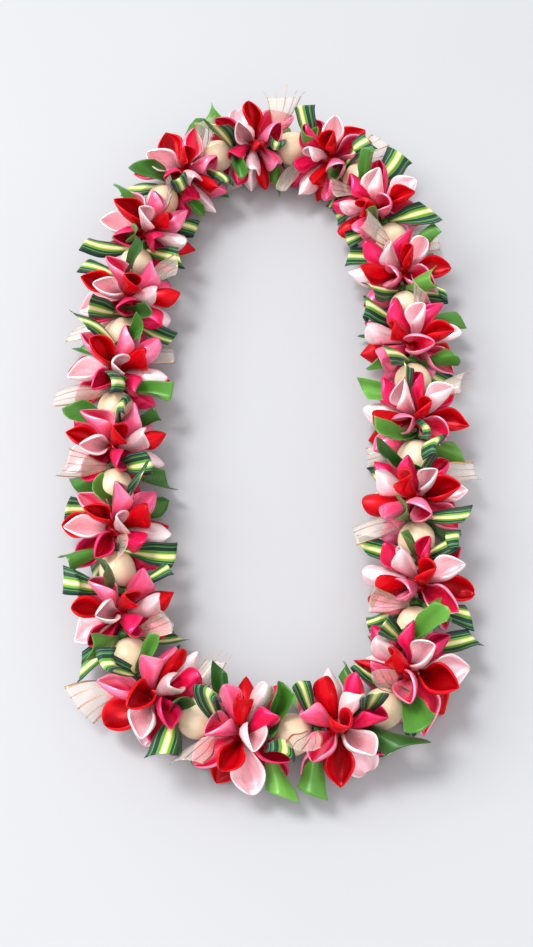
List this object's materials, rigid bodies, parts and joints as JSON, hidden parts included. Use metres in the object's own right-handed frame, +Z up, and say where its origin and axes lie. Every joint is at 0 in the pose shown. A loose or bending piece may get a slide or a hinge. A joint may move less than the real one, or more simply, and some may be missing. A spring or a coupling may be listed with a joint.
{
  "type": "satin ribbon flower lei",
  "caption": "Closed garland lei of folded satin ribbon flowers in reds and pinks, with cream nuts and green, striped and sheer ribbon leaves between them.",
  "frame": {"origin": "centre of the lei's outline, on the surface that it lies on", "axes": "+Z up from that surface; +Y along the loop's long way, towards its rounder end, which goes behind the neck; +X across"},
  "size_m": [0.2912, 0.5334, 0.0681],
  "materials": {
    "red_satin": "folded double-faced satin ribbon, glossy along the folds",
    "pink_satin": "folded double-faced satin ribbon, glossy along the folds",
    "pale_pink_satin": "folded double-faced satin ribbon, soft sheen",
    "hot_pink_satin": "folded double-faced satin ribbon, glossy along the folds",
    "green_ribbon": "plain satin ribbon with a soft sheen",
    "striped_ribbon": "finely ribbed ribbon with lengthwise stripes",
    "sheer_ribbon": "sheer organza ribbon with metallic threads",
    "nut_shell": "bleached and polished nut shell",
    "cord": "matt twisted cord"
  },
  "bodies": {
    "root": {"bloom_01": "red_satin", "bloom_02": "red_satin", "bloom_03": "red_satin", "bloom_04": "red_satin", "bloom_05": "red_satin", "bloom_06": "red_satin", "bloom_07": "red_satin", "bloom_08": "red_satin", "bloom_09": "red_satin", "bloom_10": "red_satin", "bloom_11": "red_satin", "bloom_12": "red_satin", "bloom_13": "red_satin", "bloom_14": "red_satin", "bloom_15": "red_satin", "bloom_16": "red_satin", "bloom_17": "red_satin", "bloom_18": "red_satin", "bloom_19": "red_satin", "nut_01": "nut_shell", "nut_02": "nut_shell", "nut_03": "nut_shell", "nut_04": "nut_shell", "nut_05": "nut_shell", "nut_06": "nut_shell", "nut_07": "nut_shell", "nut_08": "nut_shell", "nut_09": "nut_shell", "nut_10": "nut_shell", "nut_11": "nut_shell", "nut_12": "nut_shell", "nut_13": "nut_shell", "nut_14": "nut_shell", "nut_15": "nut_shell", "nut_16": "nut_shell", "nut_17": "nut_shell", "nut_18": "nut_shell", "nut_19": "nut_shell", "leaves_01": "green_ribbon", "leaves_02": "green_ribbon", "leaves_03": "green_ribbon", "leaves_04": "green_ribbon", "leaves_05": "green_ribbon", "leaves_06": "green_ribbon", "leaves_07": "green_ribbon", "leaves_08": "green_ribbon", "leaves_09": "green_ribbon", "leaves_10": "green_ribbon", "leaves_11": "green_ribbon", "leaves_12": "green_ribbon", "leaves_13": "green_ribbon", "leaves_14": "green_ribbon", "leaves_15": "green_ribbon", "leaves_16": "green_ribbon", "leaves_17": "green_ribbon", "leaves_18": "green_ribbon", "leaves_19": "green_ribbon", "cord": "cord"}
  },
  "joints": []
}
